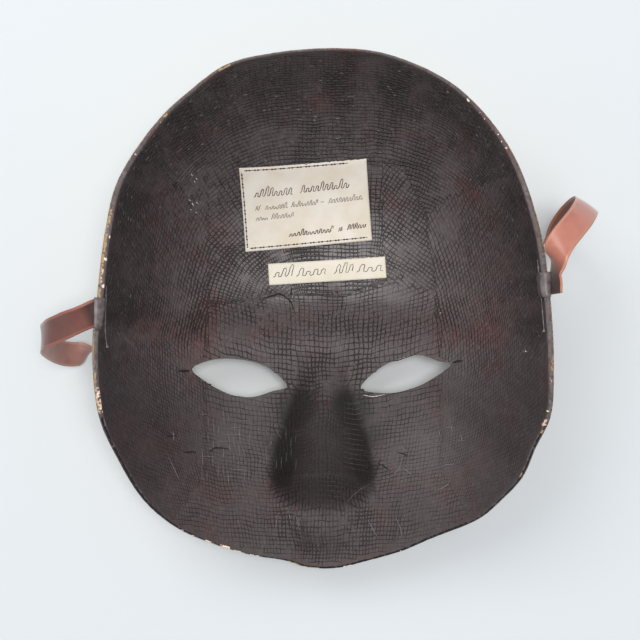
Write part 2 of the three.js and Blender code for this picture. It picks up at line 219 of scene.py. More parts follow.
def features(x, y):
    """The face over the plain dome: a hollow in the front counts up, a swelling down."""
    mid_face = 11 * (1 - smooth(y, -14, 8))
    forehead = 3.8 * bell(x / 60, (y - 42) / 24)
    lip = 3 * bell(x / 15) * (1 - smooth(y, -95, -78))
    philtrum = 2 * bell(x / 6.5, (y + 81) / 7)
    socket = 3 * mound(33.5, -23, 25, 15, x, y)
    lids = 3.5 * mound(33.5, -23, 16, 9.5, x, y)
    cheeks = 4 * mound(46, -48, 22, 18, x, y)
    wings = 2 * mound(14, -65, 7, 7.5, x, y)
    return mid_face + philtrum + socket - forehead - lids - cheeks - wings - lip - nose(x, y)


RIM_LINE = catmull_rom(RIM, 900, closed=True)
RIM_ANGLE = np.arctan2(RIM_LINE[:, 1] - MIDDLE_Y, RIM_LINE[:, 0])
RIM_REACH = np.hypot(RIM_LINE[:, 0], RIM_LINE[:, 1] - MIDDLE_Y)


def towards(angle, values):
    side = np.cos(angle) ** 2
    end = np.where(np.sin(angle) > 0, values["top"], values["bottom"])
    return side * values["side"] + (1 - side) * end


def dome_rise(upright, square, share):
    return 1 - (1 - (upright * share) ** square) ** (1 / square)


def rim_towards(angle):
    """How far out the rim lies in a direction, and how high the plain dome climbs to it."""
    reach = np.interp(angle, RIM_ANGLE, RIM_REACH, period=TURN)
    rim_z = np.interp(angle, RIM_ANGLE, RIM_LINE[:, 2], period=TURN)
    x, y = polar(angle, reach)
    return reach, rim_z - features(x, y + MIDDLE_Y)


def outer_height(x, y):
    """The outer skin's height, before it is stood on the table."""
    angle = np.arctan2(y - MIDDLE_Y, x)
    reach, rise = rim_towards(angle)
    square, upright = towards(angle, SQUARE), towards(angle, UPRIGHT)
    share = np.minimum(np.hypot(x, y - MIDDLE_Y) / reach, 1)
    dome = dome_rise(upright, square, share) / dome_rise(upright, square, 1)
    return rise * dome + features(x, y)


# A table of the outer skin: for each direction from the middle, points at even lengths
# along the plain dome, with the direction through the wall at each.
SPOKES = 720
SPOKE_STEP = 0.4
SPOKE_ANGLES = np.arange(SPOKES) * TURN / SPOKES


def survey():
    angle = SPOKE_ANGLES[:, None]
    square, upright = towards(angle, SQUARE), towards(angle, UPRIGHT)
    reach, rise = rim_towards(angle)
    steps = np.linspace(0, 1, 401)[None, :]
    turned = np.arcsin(upright ** (square / 2)) * steps ** (square / 2)
    share = np.minimum(np.sin(turned) ** (2 / square) / upright, 1)
    run = share * reach
    climb = rise * dome_rise(upright, square, share) / dome_rise(upright, square, 1)
    length = np.cumsum(np.hypot(np.diff(run, prepend=0), np.diff(climb, prepend=0)), axis=1)
    marks = np.arange(0, length[:, -1].max() + 2 * SPOKE_STEP, SPOKE_STEP)
    runs = np.array([np.interp(marks, a, b) for a, b in zip(length, run)])
    x, y = polar(angle, runs)
    y = y + MIDDLE_Y
    return length[:, -1], np.dstack([x, y, outer_height(x, y)])


SPOKE_LENGTH, SKIN = survey()
TABLE = SKIN[:, :, 2].min() + FLAT_WORN
SKIN[:, :, 2] -= TABLE


def across_wall():
    """The direction through the wall into the hollow, at each point of the table."""
    out = np.gradient(SKIN, axis=1)
    rim_index = np.ceil(SPOKE_LENGTH / SPOKE_STEP).astype(int)
    for i, last in enumerate(rim_index):
        out[i, last - 1:] = out[i, last - 2]
    round_ = np.roll(SKIN, -1, axis=0) - np.roll(SKIN, 1, axis=0)
    normal = unit(np.cross(out, round_))
    normal[:, :5] = unit(normal[:, 5].mean(axis=0))
    return normal


INWARDS = across_wall()


def length_towards(angle):
    """The whole length of the shell from its middle to the rim, in a direction."""
    return np.interp(angle, SPOKE_ANGLES, SPOKE_LENGTH, period=TURN)


def on_skin(u, v, lift):
    """Points of the shell from a flat plan of it (as if its dome were rolled out from the middle).

    lift is the height over the outer skin, through the wall."""
    angle = np.mod(np.arctan2(v, u), TURN) * SPOKES / TURN
    mark = np.hypot(u, v) / SPOKE_STEP
    a, m = angle.astype(int), np.minimum(mark.astype(int), SKIN.shape[1] - 2)
    pa, pm = (angle - a)[..., None], np.clip(mark - m, 0, 1)[..., None]
    a, b = a % SPOKES, (a + 1) % SPOKES

    def blend(table):
        low = table[a, m] * (1 - pm) + table[a, m + 1] * pm
        high = table[b, m] * (1 - pm) + table[b, m + 1] * pm
        return low * (1 - pa) + high * pa

    return blend(SKIN) + unit(blend(INWARDS)) * np.asarray(lift)[..., None]


def below_rim(u, v):
    """How far below the rim a point of the flat plan lies, along the shell."""
    return length_towards(np.arctan2(v, u)) - np.hypot(u, v)


CREASES = [  # lines in the lining, in plan: their height (up is into the hollow) and half width
    ([(-24.6, 8.3), (-17.3, 10.3), (-13.2, 7.5)], 0.55, 0.8),
    ([(-12.4, 12.7), (-10.4, 3.0)], 0.45, 0.8),
    ([(-21.4, 24.9), (-15.3, 26.2), (-9.2, 25.4)], 0.4, 0.8),
    ([(21.2, 12.3), (26.5, 14.8), (31.3, 15.1)], 0.4, 0.9),
    ([(-8.2, -30.5), (-4.3, -27.4)], 0.5, 0.9),
    ([(-5.1, -31.4), (2.9, -32.3)], 0.5, 0.9),
    ([(28.8, -89.8), (30.0, -84.0), (31.5, -78.3)], 0.6, 0.9),
    ([(-77.6, -6.1), (-72.3, -11.9)], 0.5, 0.8),
    ([(20.6, -55.9), (25.7, -58.8), (30.2, -63.3)], 0.55, 1.1),
    ([(21.7, -65.5), (24.4, -71.1)], 0.45, 0.9),
    ([(28.5, -51.8), (31.2, -51.0), (34.3, -53.7), (33.4, -58.6), (29.5, -59.5)], 0.5, 0.9),
    ([(25.0, -32.2), (32.4, -31.4), (40.2, -30.9)], -0.45, 1.0),
    ([(63.2, 50.3), (46.6, 35.4)], 0.3, 1.0),
    ([(43.1, 35.5), (51.0, 15.4)], 0.3, 1.0),
]


def relief(x, y):
    """How the lining stands off its even wall: hand-laid paper, creases and puckers."""
    total = 0.22 * ripple(x, y, 16, 1.5) + 0.12 * ripple(x, y, 7, 7.5)
    for line, height, half in CREASES:
        total = total + height * bell(off_line(line, x, y) / half)
    beside_lip = bell((np.abs(x) - 11) / 6, (y + 80) / 8)
    return total + 0.4 * beside_lip * np.cos(x * 2.2 + np.sin(y * 0.35))


def lining_lift(u, v):
    """The lining's height over the outer skin: the wall, thinning to the rim, with its relief."""
    angle = np.arctan2(v, u)
    share = np.hypot(u, v) / length_towards(angle)
    wall = WALL + (towards(angle, RIM_WALL) - WALL) * smooth(share, THINS_FROM, 1)
    plan = on_skin(u, v, np.zeros(np.shape(u)))
    return wall + relief(plan[..., 0], plan[..., 1]) * smooth(below_rim(u, v), 0, 6)


def over_lining(x, y, lift):
    """Points straight over places of the plan, at a height over the outer skin."""
    px, py = np.array(x, float), np.array(y, float)
    step = 0.2
    for _ in range(6):
        slope_x = (outer_height(px + step, py) - outer_height(px - step, py)) / (2 * step)
        slope_y = (outer_height(px, py + step) - outer_height(px, py - step)) / (2 * step)
        normal = unit(np.stack([-slope_x, -slope_y, np.ones_like(px)], axis=-1))
        point = np.stack([px, py, outer_height(px, py) - TABLE], axis=-1)
        point = point + normal * np.asarray(lift)[..., None]
        px, py = px + x - point[..., 0], py + y - point[..., 1]
    return point


# Things in the scene

def link(thing):
    bpy.context.scene.collection.objects.link(thing)
    return thing


def mesh_from(maker, name):
    mesh = bpy.data.meshes.new(name)
    maker.to_mesh(mesh)
    maker.free()
    return mesh


def piece_from(maker, name, materials):
    """A new smooth piece from a bmesh, resting on the one body, with its materials."""
    mesh = mesh_from(maker, name)
    mesh.polygons.foreach_set("use_smooth", [True] * len(mesh.polygons))
    for material in materials:
        mesh.materials.append(material)
    thing = link(bpy.data.objects.new(name, mesh))
    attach(thing, "root")
    return thing


def sheet_grid(across, along, place):
    """A bmesh sheet: place turns its flat shares, 0 to 1 across and along, to points in mm."""
    maker = bmesh.new()
    bmesh.ops.create_grid(maker, x_segments=across, y_segments=along, size=0.5)
    flat = np.array([v.co[:2] for v in maker.verts]) + 0.5
    for vert, point in zip(maker.verts, place(flat[:, 0], flat[:, 1]) * MM):
        vert.co = point
    return maker


def thicken(sheet, thickness):
    solid = sheet.modifiers.new("thickness", "SOLIDIFY")
    solid.thickness = thickness * MM
    solid.offset = 0
    return solid


def threads(name, lines, radius, material):
    """Thin round threads along lines of points in mm, each with its points' shares of radius."""
    curve = bpy.data.curves.new(name, "CURVE")
    curve.dimensions = "3D"
    curve.bevel_depth = radius * MM
    curve.bevel_resolution = 0
    curve.use_fill_caps = True
    for points, fullness in lines:
        spline = curve.splines.new("POLY")
        spline.points.add(len(points) - 1)
        packed = np.column_stack([points * MM, np.ones(len(points))])
        spline.points.foreach_set("co", packed.ravel())
        spline.points.foreach_set("radius", np.broadcast_to(fullness, len(points)).copy())
        spline.use_smooth = True
    curve.materials.append(material)
    thing = link(bpy.data.objects.new(name, curve))
    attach(thing, "root")
    return thing


# Materials

def linear(hex_colour):
    """An sRGB hex colour as linear values."""
    parts = [int(hex_colour[i:i + 2], 16) / 255 for i in (1, 3, 5)]
    return tuple(c / 12.92 if c <= 0.04045 else ((c + 0.055) / 1.055) ** 2.4 for c in parts) + (1,)


def add_node(tree, kind, takes=None, **settings):
    """One node, with its settings and what its inputs take: a value or another node's output."""
    made = tree.nodes.new("ShaderNode" + kind)
    for name, value in settings.items():
        setattr(made, name, value)
    for socket, value in (takes or {}).items():
        if isinstance(value, bpy.types.NodeSocket):
            tree.links.new(value, made.inputs[socket])
        else:
            made.inputs[socket].default_value = value
    return made


def new_material(name, **surface):
    """A material with its Principled surface, on which plain values are set."""
    material = bpy.data.materials.new(name)
    material.use_nodes = True
    tree = material.node_tree
    shader = tree.nodes["Principled BSDF"]
    for socket, value in surface.items():
        shader.inputs[socket.replace("_", " ")].default_value = value
    return material, tree, shader


def ranged(tree, value, low, high, to_low=0.0, to_high=1.0):
    """A value spread from one range to another, and held within it."""
    return add_node(tree, "MapRange", {
        "Value": value, "From Min": low, "From Max": high, "To Min": to_low, "To Max": to_high,
    }).outputs["Result"]


def sums(tree, operation, first, second):
    return add_node(tree, "Math", {0: first, 1: second}, operation=operation).outputs["Value"]


def times(tree, first, second):
    return sums(tree, "MULTIPLY", first, second)


def most(tree, first, second):
    return sums(tree, "MAXIMUM", first, second)


def cloud(tree, size, detail=3.0, seed=0.0, stretch=1.0):
    """Random values about 0.5 in soft patches of about this size in mm, drawn out along Y."""
    place = add_node(tree, "TexCoord").outputs["Object"]
    moved = add_node(tree, "Mapping", {
        "Vector": place, "Location": (seed, seed, seed), "Scale": (1, 1 / stretch, 1),
    })
    return add_node(tree, "TexNoise", {
        "Vector": moved.outputs["Vector"], "Scale": 1 / (size * MM),
        "Detail": detail, "Roughness": 0.55,
    }).outputs["Fac"]


def patches(tree, size, low, high, detail=3.0, seed=0.0, stretch=1.0):
    """0 to 1 in soft-edged random patches of about this size in mm."""
    return ranged(tree, cloud(tree, size, detail, seed, stretch), low, high)


def near(tree, middle, reach, soft):
    """1 close to a place in mm, falling to 0 at its reach over a soft edge."""
    place = add_node(tree, "TexCoord").outputs["Object"]
    far = add_node(tree, "VectorMath", {0: place, 1: Vector(middle) * MM}, operation="DISTANCE")
    return ranged(tree, far.outputs["Value"], reach * MM, (reach - soft) * MM)


def at_places(tree, value, places, reach, soft, **patch):
    """A value or, where they are more, patches that fade out round each of some places."""
    for place in places:
        spot = times(tree, near(tree, place, reach, soft), patches(tree, **patch))
        value = most(tree, value, spot)
    return value


def attribute(tree, name):
    return add_node(tree, "Attribute", attribute_name=name).outputs["Fac"]


def mixed(tree, share, first, second):
    """A colour between two, by a share; a colour is a socket or a hex."""
    mix = add_node(tree, "Mix", data_type="RGBA")
    for socket, value in ((0, share), (6, first), (7, second)):
        if isinstance(value, bpy.types.NodeSocket):
            tree.links.new(value, mix.inputs[socket])
        else:
            mix.inputs[socket].default_value = linear(value) if isinstance(value, str) else value
    return mix.outputs[2]


def coloured(tree, shader, ground):
    tree.links.new(ground, shader.inputs["Base Color"])


def bumped(tree, shader, height, strength, distance):
    bump = add_node(tree, "Bump", {"Height": height, "Strength": strength, "Distance": distance * MM})
    tree.links.new(bump.outputs["Normal"], shader.inputs["Normal"])


GLOSSY_MIDDLE = (2, 36, 6)
# where shade is painted into the nose: its hollow and its walls
NOSE_HOLLOW = (0, -54, 0)
NOSE_WALLS = [
    (-18, -50, 11), (18.5, -47, 11), (-18.5, -61, 10), (19.5, -59, 10), (-10, -37, 14),
    (11, -37, 14),
]
REDDISH = [(-62, -8, 36), (-60, -50, 38), (60, 8, 36), (-62, 38, 30), (-46, -72, 30)]
CHEEK = (44, -54, 26)
SCUFFED = [(-38, -46, 20), (44, -52, 26), (-20, 3, 6), (-50, 50, 20), (30, 14, 5), (2, -80, 16)]


PAINTS = {  # one paint, mid-toned over the papier-mache; on the threads of the gauze it is darker, as painted shade of the grooves between them
    "painted_papier_mache": {
        "shade": "#413636", "light": "#4c4242", "worn": "#6a6262", "red": "#50302d",
        "grey": "#504a4c", "scuffed": "#4a4343", "lower": "#2b2424", "nose_shade_and_glint": "#0f0a0a",
    },
    "gauze_with_painted_groove_shade": {
        "shade": "#1b1414", "light": "#251c1c", "worn": "#453b3a", "red": "#241514",
        "grey": "#1f1b1c", "scuffed": "#6f6664", "lower": "#171212", "nose_shade_and_glint": "#2c2524",
    },
}


def dark_paint(name):
    """Thin dark umber paint brushed over papier-mache and gauze: semi-matt and reddish down the
    sides, greyer over the forehead as a painted sheen and glossier there, paler where it has been
    rubbed, and with painted shade in the nose hollow and on its walls."""
    material, tree, shader = new_material(name, Roughness=0.5)
    tones = PAINTS[name]
    # the glossy middle of the forehead: lower roughness there, and a greyer tone painted in as sheen
    middle = times(
        tree, near(tree, GLOSSY_MIDDLE, 58, 34), patches(tree, 15, 0.25, 0.5, seed=2.6),
    )
    red = patches(tree, 20, 0.52, 0.66, seed=3.1)
    red = at_places(tree, red, REDDISH, 26, 22, size=9, low=0.35, high=0.6, seed=6.3)
    fibres = patches(tree, 0.8, 0.42, 0.72, detail=5, seed=8.1, stretch=3.5)
    pores = patches(tree, 1.0, 0.5, 0.7, detail=4, seed=2.3, stretch=2.5)
    rubbed = patches(tree, 2.2, 0.6, 0.78, detail=4, seed=5.7)
    rubbed = at_places(tree, rubbed, SCUFFED, 20, 19, size=4, low=0.4, high=0.7, seed=7.9)
    place = add_node(tree, "TexCoord").outputs["Object"]
    up = add_node(tree, "SeparateXYZ", {"Vector": place}).outputs["Y"]
    # painted shade in the nose hollow and on its walls: very dark on the papier-mache, while the
    # threads there turn lighter as painted highlights
    nose_shade_and_glint = times(tree, near(tree, NOSE_HOLLOW, 30, 18), 0.6)
    for wall in NOSE_WALLS:
        nose_shade_and_glint = most(tree, nose_shade_and_glint, times(tree, near(tree, wall, 11.5, 4.5), 0.8))
    ground = mixed(tree, patches(tree, 22, 0.35, 0.65), tones["shade"], tones["light"])
    for share, tone in (
        (times(tree, red, 0.9), "red"),
        (times(tree, middle, 0.55), "grey"),
        (times(tree, fibres, 0.5), "worn"),
        (times(tree, pores, 0.55), "shade"),
        (rubbed, "scuffed"),
        (ranged(tree, up, -8 * MM, -30 * MM, 0, 0.5), "lower"),
        (times(tree, near(tree, CHEEK, 26, 22), 0.25), "worn"),
        (nose_shade_and_glint, "nose_shade_and_glint"),
    ):
        ground = mixed(tree, share, ground, tones[tone])
    tree.links.new(ranged(tree, middle, 0, 1, 0.72, 0.44), shader.inputs["Roughness"])
    bumped(tree, shader, patches(tree, 0.7, 0.2, 0.8, detail=5, seed=1.3), 0.35, 0.12)
    return material, tree, shader, ground


def gauze_paint():
    material, tree, shader, ground = dark_paint("gauze_with_painted_groove_shade")
    coloured(tree, shader, ground)
    return material


def shell_paint():
    """The dark paint, and at the rim its mauve-grey brushed edge and where it has worn away."""
    material, tree, shader, ground = dark_paint("painted_papier_mache")
    grain = cloud(tree, 1.1, detail=3, seed=4.9)
    coarse = cloud(tree, 2.4, detail=4, seed=9.2)

    def flaked(name, covered, by=grain):
        """Where a kind of wear shows: its stretch, broken up by the grain of the surface."""
        raised = sums(tree, "ADD", times(tree, attribute(tree, name), 0.6), by)
        return ranged(tree, raised, covered, covered + 0.07)

    band = mixed(tree, patches(tree, 1.5, 0.42, 0.6, seed=8.8), "#61585a", "#443b3b")
    band = mixed(tree, patches(tree, 6, 0.45, 0.6, seed=2.9), band, "#594b44")
    ground = mixed(tree, flaked("band", 0.95, coarse), ground, band)
    # the very dark outer line of the rim: a dark edge, and partly a painted shadow of the gap at the
    # lip
    dark_edge_and_shadow = flaked("dark_edge_and_shadow", 0.93)
    for share, tone in (
        (flaked("outline", 0.98), "#86735a"), (dark_edge_and_shadow, "#0b0808"), (flaked("tan", 1.03), "#9c7f58"),
        (flaked("peach", 1.03), "#c4a58f"), (flaked("cream", 0.98), "#d8cab7"),
    ):
        ground = mixed(tree, share, ground, tone)
    coloured(tree, shader, ground)
    gloss = shader.inputs["Roughness"].links[0].from_socket
    tree.links.new(most(tree, gloss, times(tree, dark_edge_and_shadow, 0.95)), shader.inputs["Roughness"])
    return material


def gesso_front():
    """Aged gesso, brushed and rubbed smooth: a warm ivory with faint stains, matt, and worn
    through to the tan paper on the tip of the nose, the brow and along the rim."""
    material, tree, shader = new_material("aged_gesso_front", Roughness=0.62)
    ground = mixed(tree, patches(tree, 30, 0.35, 0.7), "#e2d4bb", "#cdb896")
    ground = mixed(tree, patches(tree, 7, 0.6, 0.9, detail=5, seed=4.4), ground, "#b59570")
    for place, reach in (((0, -62, 0), 13), ((0, 45, 0), 16), ((0, -98, 12), 12)):
        share = times(tree, near(tree, place, reach, 11), patches(tree, 5, 0.3, 0.8, 5, seed=1.9))
        ground = mixed(tree, share, ground, "#a07c58")
    rim_worn = sums(tree, "ADD", attribute(tree, "rim_side"), cloud(tree, 3, 4, 5.1))
    ground = mixed(tree, ranged(tree, rim_worn, 1.15, 1.4), ground, "#8d7557")
    coloured(tree, shader, ground)
    bumped(tree, shader, patches(tree, 1.2, 0.2, 0.8, detail=5, seed=2.2), 0.3, 0.15)
    return material


def cut_edge():
    """Raw cut papier-mache, stained by the lining's paint: dark, fibrous and matt."""
    material, tree, shader = new_material("raw_cut_edge", Roughness=0.8)
    ground = mixed(tree, patches(tree, 2.5, 0.45, 0.7), "#1c1615", "#57453a")
    coloured(tree, shader, ground)
    bumped(tree, shader, patches(tree, 0.6, 0.2, 0.8, detail=4), 0.5, 0.2)
    return material


def satin(name, face, shade, edge, stain_and_shadow, darkened_length, roughness):
    """Woven viscose satin: the floats along it give one face a soft stretched highlight, the
    back is duller, the woven edges are paler and carry a painted edge highlight, and its first mm
    are darkened: stained with paint, and on the right ribbon a painted shadow as well."""
    material, tree, shader = new_material(
        name, Roughness=roughness, Anisotropic=0.5, Sheen_Weight=0.25, Sheen_Roughness=0.4,
    )
    along = add_node(tree, "UVMap", uv_map="along").outputs["UV"]
    way = add_node(tree, "SeparateXYZ", {"Vector": along}).outputs
    off_middle = sums(tree, "ABSOLUTE", sums(tree, "SUBTRACT", way["X"], RIBBON_WIDE / 2 * MM), 0.0)
    ground = mixed(tree, patches(tree, 9, 0.35, 0.7), face, shade)
    # the first mm darkened: stained with paint, and on the right ribbon a painted shadow of the pocket
    # by the rim
    ground = mixed(tree, ranged(tree, way["Y"], darkened_length * MM, darkened_length / 2 * MM), ground, stain_and_shadow)
    # the paler woven edges, which also serve as a painted highlight along the edges
    ground = mixed(tree, ranged(tree, off_middle, 3.8 * MM, 4.3 * MM), ground, edge)
    coloured(tree, shader, ground)
    weave = add_node(tree, "TexWave", {
        "Vector": along, "Scale": 1 / (0.45 * MM) / TURN * 2, "Distortion": 0.3, "Detail": 1.0,
    }, bands_direction="Y")
    bumped(tree, shader, weave.outputs["Fac"], 0.2, 0.05)
    return material


def plain_layers(name, first, second, size, roughness):
    """Paper, ink or paint in two close tones: aged rag paper, faded ink, pencil, or chips."""
    material, tree, shader = new_material(name, Roughness=roughness)
    ground = mixed(tree, patches(tree, size, 0.38, 0.68), first, second)
    coloured(tree, shader, ground)
    bumped(tree, shader, patches(tree, 0.5, 0.2, 0.8, detail=4), 0.25, 0.06)
    return material


# Camera, light and table

def add_camera():
    data = bpy.data.cameras.new("camera")
    data.angle = 2 * math.atan(PICTURE * PICTURE_MM_PER_PIXEL / 2 / CAMERA_OVER_RIM)
    camera = link(bpy.data.objects.new("camera", data))
    camera.location = Vector(CAMERA_AT) * MM
    bpy.context.scene.camera = camera


def add_light(name, place, size, power, colour="#ffffff"):
    data = bpy.data.lights.new(name, "AREA")
    data.size = size
    data.energy = power
    data.color = linear(colour)[:3]
    lamp = link(bpy.data.objects.new(name, data))
    lamp.location = place
    lamp.rotation_euler = (-Vector(place)).to_track_quat("-Z", "Y").to_euler()


def add_surroundings():
    bpy.context.scene.view_settings.view_transform = "Standard"
    world = bpy.data.worlds.new("studio")
    bpy.context.scene.world = world
    world.use_nodes = True
    world.node_tree.nodes["Background"].inputs["Color"].default_value = linear("#eef5ff")
    world.node_tree.nodes["Background"].inputs["Strength"].default_value = 0.58
    add_light("window", (-0.45, 0.6, 1.1), 0.7, 8.0, "#fffefa")
    add_light("overhead", (0.1, 0.05, 1.4), 0.35, 13.0, "#fffdfb")
    maker = bmesh.new()
    bmesh.ops.create_grid(maker, x_segments=1, y_segments=1, size=1.5)
    mesh = mesh_from(maker, "table")
    material, _, shader = new_material("matt_white_table", Roughness=0.75)
    shader.inputs["Base Color"].default_value = linear("#c4c8ca")
    mesh.materials.append(material)
    link(bpy.data.objects.new("table", mesh))


# Ribbons

RUN_POINTS = 400
RIBBON_ACROSS, RIBBON_ALONG = 10, 320  # the squares of a ribbon's sheet
TIE_TOWARDS = math.radians(100)  # where round the roll its thread is tied
OVER_RIM_FROM = 0.7  # the share of a glued end that lies inside the rim
TIE_OUT, TIE_HALF, TIE_UP, TIE_HALF_TALL = 23.6, 3.9, 5.2, 5.0


def ribbon_rows(route, side):
    """Rows of the ribbon's middle line and width: its loose run, then its turns in the roll."""
    given = np.array(route, float)
    run = catmull_rom(given[:, :3], RUN_POINTS, closed=False)
    share = np.linspace(0, len(given) - 1, RUN_POINTS)
    widths = [np.interp(share, np.arange(len(given)), column) for column in given[:, 3:].T]
    run = np.column_stack([run, *widths])
    end = run[-1]
    outer = math.hypot(side * ROLL_X - end[0], ROLL_Y - end[1]) - 0.6
    start = math.atan2(end[1] - ROLL_Y, side * (end[0] - side * ROLL_X))
    angles = np.arange(0.06, ROLL_TURNS * TURN, 0.02)
    radius = outer - ROLL_TURN_APART * angles / TURN - 1.2 * (1 - np.exp(-angles * 1.5))
    roll = np.tile(end, (len(angles), 1))
    roll[:, 0] = side * (ROLL_X + radius * np.cos(start - angles))
    roll[:, 1] = ROLL_Y + radius * np.sin(start - angles)
    rows, _ = resampled(np.vstack([run, roll]), np.linspace(0, RIBBON_LENGTH, RIBBON_ALONG + 1))
    return rows


def add_ribbon(name, side, route, materials, thread):
    rows = ribbon_rows(route, side)
    line = rows[:, :3]
    way = unit(np.gradient(line, axis=0))
    flat = rows[:, 3:]
    flat = unit(flat - way * np.sum(flat * way, axis=1, keepdims=True))
    over = np.cross(way, flat)

    def place(across, along):
        index = np.round(along * (len(line) - 1)).astype(int)
        off = (across - 0.5) * (RIBBON_WIDE - 0.2)
        curl = 0.35 * np.cos((across - 0.5) * math.pi) * np.clip(along * 30, 0, 1)
        return line[index] + flat[index] * off[:, None] + over[index] * curl[:, None]

    maker = sheet_grid(RIBBON_ACROSS, RIBBON_ALONG, place)
    along_map = maker.loops.layers.uv.new("along")
    for face in maker.faces:
        for loop in face.loops:
            row, column = divmod(loop.vert.index, RIBBON_ACROSS + 1)
            share = row / RIBBON_ALONG
            loop[along_map].uv = (column / RIBBON_ACROSS * RIBBON_WIDE * MM, share * RIBBON_LENGTH * MM)
    ribbon = piece_from(maker, name, materials)
    thicken(ribbon, RIBBON_THICK).material_offset = 1
    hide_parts(name + "_run", name + "_roll")
    tie = threads(name + "_tie", [(tie_points(side), 1.0)], 0.4, thread)


def tie_points(side):
    """A thread drawn round the roll's turns, at their end nearest the cheek."""
    turn = np.linspace(0, TURN, 25)
    out = TIE_OUT + TIE_HALF * np.sign(np.cos(turn)) * np.abs(np.cos(turn)) ** 0.5
    up = TIE_UP + TIE_HALF_TALL * np.sign(np.sin(turn)) * np.abs(np.sin(turn)) ** 0.4
    x, y = polar(TIE_TOWARDS, out)
    return np.column_stack([side * (ROLL_X + x), ROLL_Y + y, np.maximum(up, 0.45)])


def towards_side(side, y):
    """The directions from the middle to places up one side rim."""
    return np.arctan2(y - MIDDLE_Y, np.full(len(y), side * SIDE_RIM))


def add_tongue(name, side, deep, near_y, far_y, over_end, material):
    """The ribbon's glued end: painted over, from inside the rim up and over its edge."""
    def place(across, along):
        y = near_y + (far_y - near_y) * across
        angle = towards_side(side, y)
        below = deep * (1 - np.minimum(along / OVER_RIM_FROM, 1)) + 0.2
        u, v = polar(angle, length_towards(angle) - below)
        edge = np.abs(across - 0.5) > 0.4
        fade = smooth(along, 0, 0.15)
        point = on_skin(u, v, lining_lift(u, v) + 0.35 + 0.35 * fade - 0.3 * edge)
        past = np.clip((along - OVER_RIM_FROM) / (1 - OVER_RIM_FROM), 0, 1)
        end = np.column_stack([np.full(len(y), over_end[0]), y, np.full(len(y), over_end[1])])
        high = np.sin(past * math.pi) * (0.8 if side < 0 else 1.1)
        return point + (end - point) * past[:, None] + np.array([0, 0, 1]) * high[:, None]

    tongue = piece_from(sheet_grid(10, 40, place), name, [material])
    thicken(tongue, 0.5)


# The shell

SHELL_SPOKES = 560
OUTER_RINGS = 36
LIP_RINGS = 6
INNER_RINGS = 114
ALL_RINGS = OUTER_RINGS + LIP_RINGS + INNER_RINGS
RIMWARDS = (1.25, 1.15)  # how far the rings of the outer skin and the lining draw to the rim

# Wear round the rim, and its very dark edge, partly a painted shadow: from and to which
# direction in degrees, then from and to how far in from the outer edge in mm.
RIM_WEAR = {
    "peach": [
        (175.0, 179.5, 0.4, 1.6), (203.8, 210.3, 0.2, 2.4), (327.3, 329.5, 0.3, 3.2),
        (336.8, 338.2, 0.6, 2.4), (144.8, 145.6, 0.5, 1.8),
    ],
    "cream": [
        (34.0, 34.8, 0.6, 1.6), (36.0, 36.8, 0.8, 1.8), (38.0, 39.1, 0.8, 1.8),
        (40.1, 40.9, 0.5, 1.4), (42.1, 43.1, 1.0, 2.4), (45.2, 46.1, 0.6, 1.8),
        (47.1, 48.0, 0.8, 1.8), (51.3, 52.3, 0.7, 1.7), (167.0, 168.4, 1.2, 2.8),
        (172.8, 174.2, 1.0, 2.4), (179.4, 181.0, 0.8, 2.6), (205.2, 206.6, 0.8, 2.6),
        (208.4, 209.6, 0.6, 2.2),
        (239.4, 240.0, 0.3, 1.2), (241.8, 242.6, 0.3, 1.3), (244.4, 246.7, 0.2, 1.6),
        (247.7, 250.3, 0.2, 2.1), (251.0, 253.3, 0.2, 1.5), (254.0, 256.6, 0.2, 1.5),
        (271.9, 272.4, 0.6, 1.4), (273.9, 276.0, 0.4, 1.3),
        (286.5, 287.1, 0.8, 1.8), (293.3, 293.9, 0.8, 1.7), (308.8, 309.3, 0.9, 2.0),
        (330.6, 331.5, 1.0, 2.6),
    ],
    "tan": [
        (112.5, 116.5, 0.3, 1.5), (132.0, 133.8, 0.4, 1.8), (134.6, 135.5, 0.4, 1.8),
        (243.9, 255.2, 0.2, 1.4), (262.0, 269.5, 0.3, 1.6), (315.6, 317.1, 0.8, 1.8),
        (160.0, 187.0, 0.2, 1.5), (200.5, 203.8, 0.2, 1.4),
        (325.5, 327.3, 0.3, 1.6), (339.0, 343.0, 0.2, 1.2),
    ],
    "dark_edge_and_shadow": [(210.3, 262.0, 0.35, 1.7), (262.0, 302.0, 0.0, 2.0), (302.0, 329.0, 0.4, 1.45)],
    "outline": [
        (-30.0, 162.0, -1.0, 0.45), (162.0, 210.3, -1.0, 0.95), (210.3, 262.0, -1.0, 0.35),
        (302.0, 330.0, -1.0, 0.4), (330.0, 390.0, -1.0, 0.45),
    ],
}


def worn_rim(kind, angle, inwards):
    """How fully one kind of wear, or the dark edge with its painted shadow, holds at a direction and a
    distance in from the outer edge.
    """
    degrees = np.degrees(np.mod(angle, TURN))
    worn = np.zeros(len(angle))

    def from_here(value, place, soft=0.25):
        return smooth(value, place - soft, place + soft)

    for start, stop, near_edge, far_in in RIM_WEAR[kind]:
        across = from_here(inwards, near_edge) * (1 - from_here(inwards, far_in, 0.3))
        for turn in (0, 360):
            way = degrees + turn
            worn = np.maximum(worn, from_here(way, start) * (1 - from_here(way, stop)) * across)
    return worn


